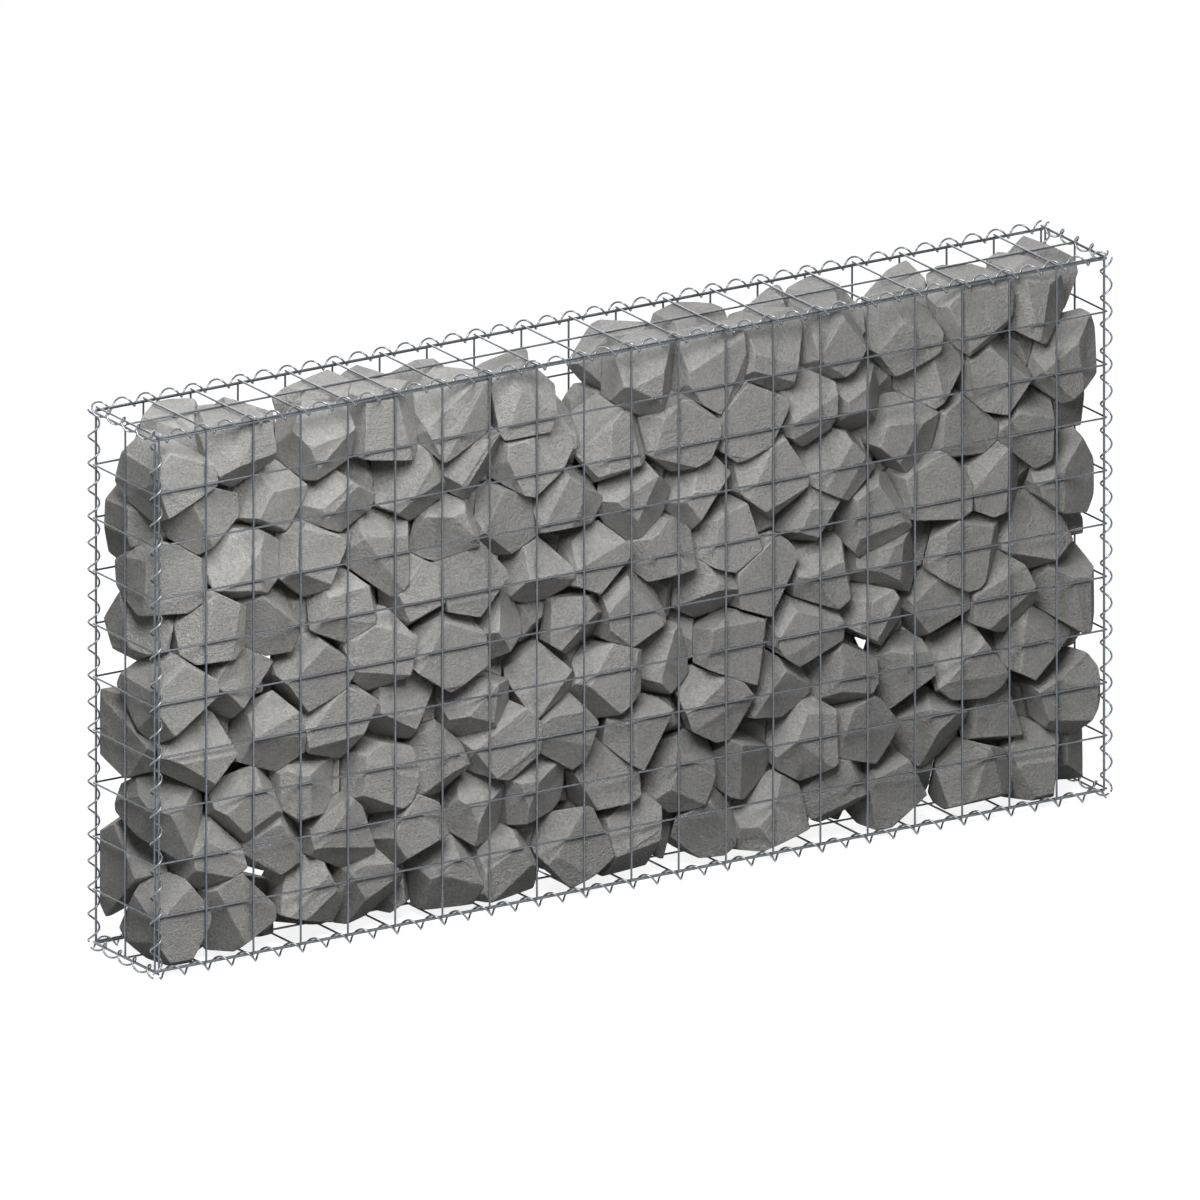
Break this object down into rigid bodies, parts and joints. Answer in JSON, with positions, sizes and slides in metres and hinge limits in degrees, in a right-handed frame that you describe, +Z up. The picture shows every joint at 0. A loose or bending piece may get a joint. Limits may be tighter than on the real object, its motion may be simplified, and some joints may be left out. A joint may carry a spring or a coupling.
{
  "type": "gabion wall",
  "caption": "Welded-mesh gabion wall, a long thin basket laced along its edges with wire spirals and filled with broken grey stone.",
  "frame": {"origin": "on the ground under the middle of the wall", "axes": "+X along the wall, +Y through it from front to back, +Z up"},
  "size_m": [2.0354, 0.2348, 1.0329],
  "materials": {
    "mesh_zinc": "satin",
    "spiral_zinc": "satin",
    "quarry_stone": "rough"
  },
  "bodies": {
    "root": {"back_panel": "mesh_zinc", "base_panel": "mesh_zinc", "front_panel": "mesh_zinc", "left_panel": "mesh_zinc", "lid_panel": "mesh_zinc", "right_panel": "mesh_zinc", "spiral_back_base": "spiral_zinc", "spiral_back_left": "spiral_zinc", "spiral_back_lid": "spiral_zinc", "spiral_back_right": "spiral_zinc", "spiral_front_base": "spiral_zinc", "spiral_front_left": "spiral_zinc", "spiral_front_lid": "spiral_zinc", "spiral_front_right": "spiral_zinc", "spiral_left_base": "spiral_zinc", "spiral_left_lid": "spiral_zinc", "spiral_right_base": "spiral_zinc", "spiral_right_lid": "spiral_zinc", "stone_course_1": "quarry_stone", "stone_course_2": "quarry_stone", "stone_course_3": "quarry_stone", "stone_course_4": "quarry_stone", "stone_course_5": "quarry_stone", "stone_course_6": "quarry_stone", "stone_course_7": "quarry_stone", "stone_course_8": "quarry_stone", "stone_course_9": "quarry_stone"}
  },
  "joints": []
}
